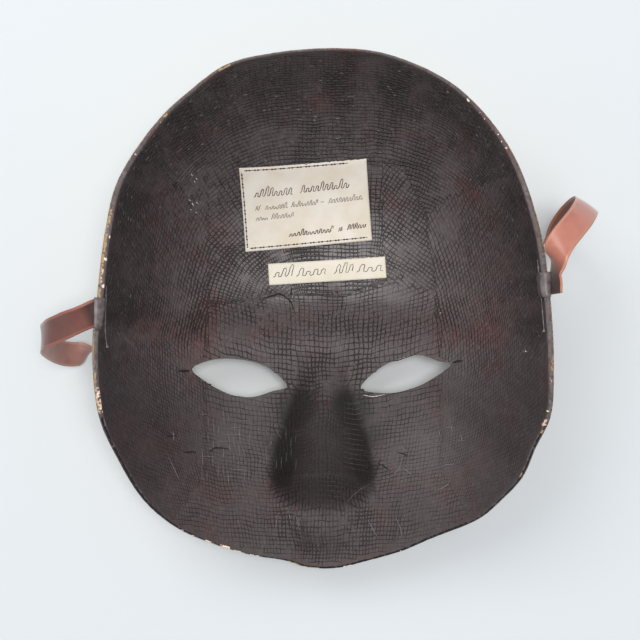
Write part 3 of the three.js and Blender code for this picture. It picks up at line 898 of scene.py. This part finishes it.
def shell_plan(around, through):
    """Where a grid point of the closed wall lies: through runs over the outer skin, the lip and
    the lining. Gives its flat plan, its shares of lip and outer skin, and its distance inwards."""
    angle = around * TURN
    length = length_towards(angle)
    ring = through * ALL_RINGS
    outer = np.clip(ring / OUTER_RINGS, 0, 1)
    lip = np.clip((ring - OUTER_RINGS) / LIP_RINGS, 0, 1)
    inner = np.clip((ALL_RINGS - ring) / INNER_RINGS, 0, 1)
    share = np.where(lip <= 0, outer, np.where(lip >= 1, inner, 1.0))
    share = 1 - (1 - share) ** np.where(lip <= 0, *RIMWARDS)
    below = (1 - share) * length
    inwards = np.where(lip <= 0, -below, lip * towards(angle, RIM_WALL) + below)
    return *polar(angle, share * length), lip, inwards


def shell_points(around, through):
    u, v, lip, inwards = shell_plan(around, through)
    rim_wall = towards(around * TURN, RIM_WALL)
    rough = 0.15 * ripple(u, v, 9, 4.2) * smooth(-inwards, 0, 4)
    lift = np.where(lip <= 0, rough, np.where(lip >= 1, lining_lift(u, v), rim_wall * lip))
    points = on_skin(u, v, lift)
    points[:, 2] = np.maximum(points[:, 2], np.where(lip <= 0, 0, -1))
    near_rim = 1 - smooth(np.abs(inwards), 2.5, 6)
    points[:, 2] += 0.45 * np.sin(np.pi * lip) * (lip < 1) + near_rim * 0.3 * ripple(u, v, 6, 9.1)
    return points


def eye_cutter(outline):
    """A block of the eye hole's outline, for cutting through the shell."""
    line = catmull_rom([(x, y, 0) for x, y in outline], 64, closed=True)
    maker = bmesh.new()
    face = maker.faces.new([maker.verts.new(p * MM) for p in line])
    bmesh.ops.extrude_face_region(maker, geom=[face])
    maker.verts.ensure_lookup_table()
    raised = maker.verts[len(line):]
    bmesh.ops.translate(maker, verts=raised, vec=(0, 0, 60 * MM))
    bmesh.ops.recalc_face_normals(maker, faces=maker.faces)
    return link(bpy.data.objects.new("eye_cutter", mesh_from(maker, "eye_cutter")))


def mark_rim(maker):
    """Writes the rim's paint and wear on the grid, for the materials to read."""
    columns = SHELL_SPOKES + 1
    index = np.arange(len(maker.verts))
    around, through = index % columns / SHELL_SPOKES, index // columns / ALL_RINGS
    _, _, lip, inwards = shell_plan(around, through)
    angle = around * TURN
    values = {kind: worn_rim(kind, angle, inwards) for kind in RIM_WEAR}
    for kind in ("peach", "cream", "tan"):
        values[kind] = values[kind] * (lip > 0)
    broad = 1.7 + 0.8 * np.abs(np.cos(angle)) + 0.5 * ripple(*polar(angle, 20), 4, 2.0)
    broad = np.where(np.sin(angle) > 0.5, broad - 1.0, broad)
    values["band"] = (1 - smooth(inwards, broad - 1.8, broad + 1.4)) * (lip > 0)
    values["rim_side"] = (1 - smooth(-inwards, 0.5, 7)) * (lip <= 0)
    for kind, column in values.items():
        layer = maker.verts.layers.float.new(kind)
        for vert, value in zip(maker.verts, column):
            vert[layer] = value


def add_shell(lining, front, edge):
    maker = sheet_grid(SHELL_SPOKES, ALL_RINGS, shell_points)
    mark_rim(maker)
    columns = SHELL_SPOKES + 1
    for face in maker.faces:
        row = min(v.index for v in face.verts) // columns
        face.material_index = 1 if row < OUTER_RINGS else 0
    bmesh.ops.remove_doubles(maker, verts=maker.verts, dist=1e-6)
    bmesh.ops.recalc_face_normals(maker, faces=maker.faces)
    shell = piece_from(maker, "papier_mache_shell", [lining, front, edge])
    cutters = [eye_cutter(outline) for outline in EYES.values()]
    for cutter in cutters:
        cutter.data.materials.append(edge)
        cut = shell.modifiers.new("eye_hole", "BOOLEAN")
        cut.operation = "DIFFERENCE"
        cut.object = cutter
    whole = shell.evaluated_get(bpy.context.evaluated_depsgraph_get())
    cut_mesh = bpy.data.meshes.new_from_object(whole)
    shell.modifiers.clear()
    shell.data = cut_mesh
    for cutter in cutters:
        bpy.data.objects.remove(cutter)
    cut_mesh.set_sharp_from_angle(angle=math.radians(50))
    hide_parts("mask_shell")


# The gauze

THREAD_APART = 1.7
THREADS = {"warp": (0.18, 0.0), "weft": (0.26, 0.02)}  # each way's radius, and how high it lies
OVER_UNDER = 0.07
NOWHERE = 400.0  # past every rim, so no thread is laid there
ARCHES = (-6.7, 19.9, -11.0)  # where its two fans turn about, across and up the flat plan


def arched_net(fan_radius):
    """Crossings of a cloth eased over the forehead: its weft runs in arches, and its warp
    stands upright between two fans, evenly spaced at the given radius, and is dropped where it
    would crowd."""
    left, right, foot = ARCHES
    straight = 15
    fanned = round(math.radians(115) * fan_radius / THREAD_APART)
    i, j = np.meshgrid(np.arange(-fanned, straight + fanned + 1), np.arange(-12, 80), indexing="ij")
    middle = np.clip(i, 0, straight)
    crowded = (i != middle) & ((j < 5) | (j < 14) & (i % 2 > 0))
    radius = np.where((i != middle) & (j < 1), NOWHERE, j * THREAD_APART)
    turn = math.pi / 2 - (i - middle) * THREAD_APART / fan_radius
    u = left + (right - left) * middle / straight + radius * np.cos(turn)
    return u, foot + radius * np.sin(turn), ~crowded


def square_net(middle, turn):
    """Crossings of an open square cloth, in the flat plan."""
    i, j = np.meshgrid(np.arange(-60, 60), np.arange(-60, 60), indexing="ij")
    a, b = i * THREAD_APART, j * THREAD_APART
    turn = math.radians(turn)
    u = middle[0] + a * math.cos(turn) - b * math.sin(turn)
    v = middle[1] - MIDDLE_Y + a * math.sin(turn) + b * math.cos(turn)
    return u, v


def fan_net(side):
    """Crossings of a cloth pulled aslant down a side of the face: its weft fans out and its
    warp follows the rim."""
    i, j = np.meshgrid(np.arange(0, 110), np.arange(-75, 75), indexing="ij")
    angle = math.radians(148) + j * THREAD_APART / 125
    far = (50 + 1.55 * i) * np.exp(-0.625 * (angle - math.radians(148)))
    return side * (-37 - far * np.cos(angle)), -92 + far * np.sin(angle)


def bowed_net():
    """Crossings of the cloth over the lower face, its weft sagging round the nose and its warp
    drawing together below it."""
    i, j = np.meshgrid(np.arange(-64, 65), np.arange(-80, 40), indexing="ij")
    v0 = j * THREAD_APART
    u = i * THREAD_APART * (1 + 0.0035 * (v0 + 40))
    over_tip = 4.5 * bell((v0 + 58) / 24) * u**2 / (50 + u**2)
    sag = np.exp(0.0155 * (v0 + 14)) * (0.07 * (np.sqrt(u**2 + 36) - 6) + 0.0035 * u**2)
    return u, v0 + (sag - over_tip) * (1 - smooth(np.abs(u), 60, 110))


CLOTHS = {  # each cloth's crossings, the outline in plan that it fills, and how its ways show
    "crown": (arched_net(70), [
        (-46, 61), (-60, 50), (-84, 30), (-90, 60), (-60, 110), (60, 112), (90, 70), (84, 48),
        (66, 53), (50, 48), (41.5, 41.7), (31.7, 62),
    ], {"warp": 0.6, "weft": 1.35}),
    "forehead": (arched_net(44), [
        (-46, 61), (31.7, 62), (24, 62), (24, 14), (8, 9.5), (-18, 10), (-46, 5),
    ], {"warp": 1.0, "weft": 1.1}),
    "temple": (square_net((34, 36), -35), [
        (24, 62), (31.7, 62), (41.5, 41.7), (45.5, 11.6), (24, 14),
    ], {"warp": 1.0, "weft": 0.9}),
    "left": (fan_net(-1), [
        (-46, 61), (-60, 50), (-84, 30), (-110, 30), (-110, -60), (-70, -95), (-46, -60), (-46, 3),
    ], {"warp": 1.35, "weft": 0.5}),
    "right": (fan_net(1), [
        (41.5, 41.7), (50, 48), (66, 53), (84, 48), (110, 48), (110, -60), (70, -95), (46, -60),
        (46, -1), (45.5, 11.6),
    ], {"warp": 1.35, "weft": 0.5}),
    "lower": (bowed_net(), [
        (-46, 5), (-46, -60), (-66, -95), (0, -112), (66, -95), (46, -60), (46, -1), (45.5, 11.6),
        (24, 14), (8, 9.5), (-18, 10),
    ], {"warp": 1.05, "weft": 0.85}),
}


def finer(run):
    """A thread's run with more points where it climbs steeply, so that it stays on the lining."""
    points = on_skin(*run[:, :3].T)
    climbs = np.linalg.norm(np.diff(points, axis=0), axis=1)
    pieces = np.clip(np.ceil(climbs / (1.35 * THREAD_APART)), 1, 7).astype(int)
    starts = np.repeat(np.arange(len(pieces)), pieces)
    parts = np.concatenate([np.arange(n) / n for n in pieces])
    wanted = np.r_[starts + parts, len(run) - 1]
    rows = np.column_stack([np.interp(wanted, np.arange(len(run)), column) for column in run.T])
    return on_skin(*rows[:, :3].T), rows[:, 3]


def gauze_lines(net, outline, shows, seed):
    """The cloth's warp and weft, as runs of crossings within its outline, over and under.

    A net is its crossings in the flat plan and, where its warp thins out, which of them keep it."""
    even, warp_there = net[:2], net[2] if len(net) > 2 else True
    u = even[0] + 0.9 * ripple(*even, 9, seed) + 0.4 * ripple(*even, 2.6, seed + 3)
    v = even[1] + 0.9 * ripple(*even, 9, seed + 5) + 0.4 * ripple(*even, 2.6, seed + 8)
    below = below_rim(u, v)
    lift = lining_lift(u, v)
    x, y, _ = np.moveaxis(on_skin(u, v, lift), -1, 0)
    fills = inside(outline, x, y) | (off_line(outline + outline[:1], x, y) < 1.1)
    fills &= below > 1.2 + 0.9 * ripple(x, y, 6, seed + 9)
    for hidden, grown in [(eye, 1.03) for eye in EYES.values()] + [(PRINTED_LABEL, 0.93)]:
        middle = np.mean(hidden, axis=0)
        fills &= ~inside([tuple(middle + (np.array(p) - middle) * grown) for p in hidden], x, y)
    parity = np.indices(u.shape).sum(axis=0) % 2 * 2 - 1
    full = 1.05 + 1.2 * ripple(x, y, 11, seed + 11) + 0.9 * ripple(x, y, 3, seed + 12)
    full = np.clip(full, 0.15, 1.6)
    full = full * (0.6 + 0.4 * smooth(below, 2, 8)) * (1 - 0.25 * smooth(x, 25, 55))
    full = full * (1 - 0.5 * (1 - smooth(y, -30, 5)) * smooth(np.abs(x), 14, 24))
    runs = {}
    for way, sign in (("warp", 1), ("weft", -1)):
        _, lies = THREADS[way]
        high = lift + lies + sign * parity * OVER_UNDER * full
        table = np.dstack([u, v, high, full * shows[way]])
        kept = fills & warp_there
        if way == "weft":
            table, kept = np.swapaxes(table, 0, 1), fills.T
        found = []
        for row, keep in zip(table, kept):
            edges = np.flatnonzero(np.diff(np.r_[False, keep, False]))
            for start, stop in zip(edges[::2], edges[1::2]):
                if stop - start >= 3:
                    found.append(finer(row[start:stop]))
        runs[way] = found
    return runs


def add_gauze(material):
    for number, (name, cloth) in enumerate(CLOTHS.items()):
        for way, lines in gauze_lines(*cloth, 10.0 * number).items():
            threads("gauze_" + name + "_" + way, lines, THREADS[way][0], material)


# Marks on the lining: where each line runs in plan, and its thickest radius

MARK_RADIUS = 0.3
# dark cut slits, and dark lines laid along the creases as their painted shade
DARK_MARKS = [
    ([(-53.6, -51.7), (-49.3, -52.0)], 0.3), ([(-44.5, -52.3), (-42.2, -50.8), (-36.5, -51.4)], 0.28),
    ([(-56.0, -20.4), (-51.6, -20.3)], 0.45), ([(50.6, -17.2), (54.3, -16.2)], 0.4),
    ([(-59.6, -45.1), (-56.9, -45.3)], 0.25), ([(20.9, -56.4), (26.0, -59.3)], 0.25),
    ([(-24.4, 7.9), (-20.5, 9.2), (-17.3, 9.9), (-13.4, 7.3), (-11.6, 3.6)], 0.34),
    ([(-12.6, 12.6), (-12.9, 8.0)], 0.3), ([(29.0, -52.4), (33.6, -54.0)], 0.22),
    ([(-8.0, -31.0), (-4.6, -28.0)], 0.25),
]
RUBBED_MARKS = [
    ([(42.8, -66.5), (46.5, -65.2), (49.2, -62.8)], 0.13), ([(45.4, -43.5), (46.0, -46.9)], 0.1),
    ([(49.9, -41.2), (50.5, -44.4)], 0.1), ([(47.0, -42.9), (51.6, -42.3)], 0.08),
    ([(42.0, -49.2), (45.6, -48.7)], 0.08), ([(52.2, -47.6), (55.0, -47.0)], 0.08),
    ([(46.9, -56.9), (50.6, -56.4)], 0.1), ([(53.4, -44.5), (53.9, -47.3)], 0.1),
    ([(31.7, -58.6), (34.8, -61.2)], 0.12), ([(-58.8, -53.0), (-56.6, -58.0), (-54.9, -61.6)], 0.09),
    ([(-57.6, -43.3), (-57.2, -46.9)], 0.14), ([(-36.7, -50.3), (-36.2, -52.2)], 0.14),
    ([(-13.5, -74.4), (-12.9, -77.9), (-12.2, -80.7)], 0.12), ([(-17.6, -76.1), (-18.4, -82.3)], 0.1),
    ([(17.6, -78.8), (21.2, -85.0)], 0.12), ([(28.2, -77.1), (29.9, -80.6), (30.5, -84.2)], 0.12),
    ([(31.8, -53.0), (29.6, -59.2), (25.5, -62.9)], 0.1),
    ([(18.6, -65.5), (12.3, -70.0), (8.7, -73.4)], 0.07), ([(-11.0, -75.2), (-9.2, -81.8)], 0.09),
]
PALE_MARKS = [
    ([(15.9, -30.1), (19.5, -30.9), (24.4, -30.1)], 0.22),
    ([(-51.3, 56.3), (-50.7, 55.5)], 0.22), ([(-49.7, 55.0), (-49.1, 54.4)], 0.25),
    ([(-50.4, 53.9), (-50.0, 53.3)], 0.2), ([(-52.9, 46.7), (-52.1, 46.3)], 0.25),
    ([(-51.7, 45.4), (-51.0, 44.6)], 0.3), ([(-50.2, 46.0), (-49.3, 45.4)], 0.25),
    ([(-52.5, 43.2), (-51.9, 42.8)], 0.2), ([(-50.6, 42.2), (-49.8, 41.6)], 0.24),
    ([(46.7, 2.3), (47.2, 1.9)], 0.25), ([(74.6, -12.0), (75.0, -12.3)], 0.22),
]


def rubbed_and_highlit_threads():
    """Threads rubbed bare across the left cheek, then painted highlights along the threads on the
    nose's two walls.
    """
    lines = []
    for row in range(10):
        for part in range(3):
            long = 2.4 + 1.1 * ((row * 7 + part * 4) % 5)
            x, y = -47.0 + 2.0 * row, -36.0 - 8.6 * part - 2.1 * ((row * 5 + part * 3) % 4)
            lines.append(([(x, y), (x + 0.06 * long, y - long)], 0.075))
        long = 2.6 + 1.3 * ((row * 3) % 5)
        x, y = -48.0 + 2.9 * ((row * 5) % 6), -37.5 - 2.7 * row
        lines.append(([(x, y), (x + long, y - 0.04 * long)], 0.065))
    # painted highlights: light lines along the threads on the nose's walls
    for row in range(14):
        y = -33.5 - 2.05 * row
        lines.append(([(8.5, y), (12.5, y - 0.5), (13.5 + 0.42 * row, y - 0.6)], 0.04))
        x, y = -22.0 + 1.9 * (row % 7), -43.5 - 8.6 * (row // 7) - 1.4 * ((row * 3) % 4)
        lines.append(([(x, y), (x - 0.3, y - 3.2 - (row * 5) % 3)], 0.055))
    return lines


def marks(name, lines, material):
    """Short cuts, chips and scratches, dark lines of painted shade along creases and light lines of
    painted highlight on threads, half sunk in the paint over the gauze.
    """
    drawn = []
    for line, radius in lines:
        points = np.array([(x, y, 0) for x, y in line], float)
        count = max(4, int(np.linalg.norm(points[-1] - points[0]) / 0.7))
        path = catmull_rom(points, count, closed=False)
        x, y = path[:, 0], path[:, 1] + 0.2 * ripple(path[:, 0], path[:, 1], 1.3, 3.3)
        along = np.linspace(0, 1, count)
        full = (0.35 + 0.65 * np.sin(along * math.pi)) * (1 + 0.35 * ripple(x, y, 0.9, 5.1))
        placed = over_lining(x, y, WALL + relief(x, y) + 0.36)
        drawn.append((placed, full * radius / MARK_RADIUS))
    threads(name, drawn, MARK_RADIUS, material)


def add_glued_ridges(material):
    """Where the ribbons' glued ends stop under the paint: a low ridge inside each rim."""
    drawn = []
    for side, places in ((1, [(21.5, 3.2), (12.0, 4.0), (4.0, 4.2), (-4.9, 3.4)]),
                         (-1, [(11.8, 2.8), (1.1, 6.2), (-5.0, 8.0), (-10.8, 9.4)])):
        given = np.array([(y, below, 0) for y, below in places], float)
        path = catmull_rom(given, 40, closed=False)
        angle = towards_side(side, path[:, 0])
        u, v = polar(angle, length_towards(angle) - path[:, 1])
        full = 0.6 + 0.5 * ripple(u, v, 2.0, 6.6) + (np.arange(40) > 37) * 0.9
        drawn.append((on_skin(u, v, lining_lift(u, v) + 0.2), full))
    threads("glued_ribbon_ridges", drawn, 0.45, material)


# Labels

PAPER_THICK = 0.22


def paper_lift(x, y):
    return WALL + 0.75 + 0.16 * ripple(x, y, 7, 6.0)


def on_paper(x, y):
    return over_lining(x, y, paper_lift(x, y) + PAPER_THICK / 2)


def add_label(name, corners, node, material):
    top_left, top_right, bottom_right, bottom_left = (np.array(c) for c in corners)
    tall = top_left[1] - bottom_left[1]

    def place(across, along):
        a, b = across[:, None], along[:, None]
        torn = 0.16 + 0.3 * (across > 0.55) * (along > 0.5)
        deckle = torn * ripple(across * 60, along * 40, 1.0, 2.0)
        b = b + (np.sign(along - 0.5) * deckle * (np.abs(along - 0.5) > 0.49) / tall)[:, None]
        low = bottom_left * (1 - a) + bottom_right * a
        high = top_left * (1 - a) + top_right * a
        x, y = (low * (1 - b) + high * b).T
        rim = np.minimum(np.minimum(across, 1 - across) * 50, np.minimum(along, 1 - along) * tall)
        return over_lining(x, y, paper_lift(x, y) - PAPER_THICK * (1 - smooth(rim, 0, 1.6)))

    sheet = piece_from(sheet_grid(80, round(tall * 1.5), place), name, [material])
    thicken(sheet, PAPER_THICK)
    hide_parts(node)


def scribble(start, end, height, pitch, seed):
    """A line of joined strokes that aren't letters, between two places of the paper."""
    start, end = np.array(start, float), np.array(end, float)
    long = np.linalg.norm(end - start)
    way = (end - start) / long
    up = np.array([-way[1], way[0]])
    along = np.linspace(0, long, max(8, int(long / pitch * 7)))
    beats = range(int(long / pitch) + 2)
    beat = np.array([0.35 + 1.5 * abs(noise.noise(Vector((k * 0.73, seed, 0.5)))) for k in beats])
    tall = beat[(along / pitch).astype(int)] * height
    rise = tall * (0.5 - 0.5 * np.cos(along / pitch * TURN))
    lean = rise * 0.35 + 0.12 * pitch * np.sin(along / pitch * TURN * 2)
    flat = start + np.outer(along + lean, way) + np.outer(rise, up)
    return flat[:, 0], flat[:, 1]


PRINTED_ROWS = [  # words by their ends on the paper, then the height and spacing of the strokes
    ((-27.6, 48.7), (-12.4, 50.0), 3.6, 1.9), ((-9.1, 50.6), (10.2, 52.6), 3.6, 1.9),
    ((-27.3, 43.5), (-25.5, 43.6), 2.1, 1.2), ((-23.3, 43.9), (-14.4, 44.7), 2.1, 1.25),
    ((-12.8, 45.0), (-2.3, 46.0), 2.2, 1.2), ((-0.9, 47.0), (0.6, 47.1), 0.1, 1.5),
    ((2.2, 46.5), (15.9, 48.0), 2.2, 1.35),
    ((-27.0, 39.5), (-22.2, 40.0), 2.0, 1.2), ((-20.9, 40.2), (-12.0, 41.1), 2.1, 1.3),
    ((-13.7, 33.2), (3.8, 35.1), 2.6, 1.5), ((6.3, 35.3), (7.9, 35.5), 2.2, 0.8),
    ((9.9, 36.0), (17.2, 36.9), 2.6, 1.4),
]
PENCIL_ROWS = [
    ((-20.0, 16.6), (-12.4, 17.0), 4.6, 2.6), ((-10.6, 17.0), (1.2, 17.8), 4.2, 3.0),
    ((4.6, 18.0), (12.0, 18.6), 4.6, 2.6), ((13.8, 18.7), (24.2, 19.2), 4.4, 3.4),
]
DOTTED_BORDERS = [
    ((-32.2, 57.8), (-30.4, 28.6)), ((-31.2, 58.6), (10.0, 61.9)), ((-29.4, 28.3), (18.2, 32.9)),
]


def add_writing(name, rows, radius, material, dots=()):
    drawn = []
    for number, (start, end, height, pitch) in enumerate(rows):
        x, y = scribble(start, end, height, pitch, number * 1.7)
        full = (0.8 + 0.5 * ripple(x * 2, y * 2, 1.0, 7.0)) * (0.72 if height < 2.3 else 1.15)
        drawn.append((on_paper(x, y), full))
    for (x0, y0), (x1, y1) in dots:
        long = math.hypot(x1 - x0, y1 - y0)
        shares = np.linspace(0, 1, int(long / 0.2))
        place = shares * long
        beads = np.maximum(bell((place % 3.4 - 0.9) / 0.3), bell((place % 3.4 - 2.1) / 0.3))
        x, y = x0 + (x1 - x0) * shares, y0 + (y1 - y0) * shares
        drawn.append((on_paper(x, y), 0.55 + 1.15 * beads))
    threads(name, drawn, radius, material)


add_camera()
# Both ribbons are one satin: the per-side copies differ in tone, the left back darker, and the backs
# are darker than the faces, partly as painted shade
left_satin = [
    satin("left_satin_back", "#693d35", "#58322b", "#885243", "#3a2320", 6, 0.6),
    satin("left_satin_face", "#a57a73", "#916760", "#ab7e6e", "#3a211d", 6, 0.45),
]
# the right ribbon's very dark first 14 to 17 mm are a painted shadow of the pocket beside the rim, over
# a paint stain
right_satin = [
    satin("right_satin_back", "#74463d", "#653b34", "#a5684f", "#1c1311", 17, 0.6),
    satin("right_satin_face", "#ac7060", "#9c5f4e", "#b27a65", "#3a211d", 14, 0.45),
]
tie_thread = plain_layers("undyed_cotton_thread", "#d8cdb6", "#bfae90", 1.0, 0.8)
add_ribbon("left_ribbon", -1, LEFT_ROUTE, left_satin, tie_thread)
add_ribbon("right_ribbon", 1, RIGHT_ROUTE, right_satin, tie_thread)
add_surroundings()

lining_paint = shell_paint()
add_shell(lining_paint, gesso_front(), cut_edge())
gauze_with_painted_groove_shade = gauze_paint()
add_gauze(gauze_with_painted_groove_shade)
tongue_paint = plain_layers("painted_ribbon_ends", "#6b6160", "#4c4443", 2.0, 0.5)
add_tongue("left_glued_ribbon_end", -1, 1.3, -3.6, 7.4, (-80.9, 74.5), tongue_paint)
add_tongue("right_glued_ribbon_end", 1, 6.6, 7.6, 16.6, (80.9, 71.8), tongue_paint)
add_glued_ridges(plain_layers("painted_glue_ridge", "#766b6a", "#544b4a", 2.0, 0.4))
marks("dark_cuts_and_crease_shade_in_lining", DARK_MARKS,
      plain_layers("open_cut_and_crease_shade", "#120e0d", "#1e1715", 2.0, 0.8))
marks("rubbed_lines_and_highlights_in_lining", RUBBED_MARKS + rubbed_and_highlit_threads(),
      plain_layers("rubbed_paint_and_highlights", "#8d8584", "#6b6363", 1.0, 0.6))
marks("pale_chips_in_lining", PALE_MARKS,
      plain_layers("bare_gesso_chip", "#cfc8bd", "#9a8f84", 1.0, 0.8))
add_label("printed_paper_label", PRINTED_LABEL, "printed_label",
          plain_layers("aged_rag_paper", "#d2cbc0", "#c9beac", 12, 0.82))
add_writing("printed_strokes", PRINTED_ROWS, 0.22,
            plain_layers("plum_brown_ink", "#432528", "#5b3b40", 1.5, 0.7), DOTTED_BORDERS)
add_label("handwritten_paper_strip", NAME_STRIP, "name_strip",
          plain_layers("aged_strip_paper", "#d3ccbf", "#cbc1ad", 12, 0.82))
add_writing("pencil_strokes", PENCIL_ROWS, 0.19,
            plain_layers("grey_pencil", "#4d4744", "#736c67", 1.5, 0.7))
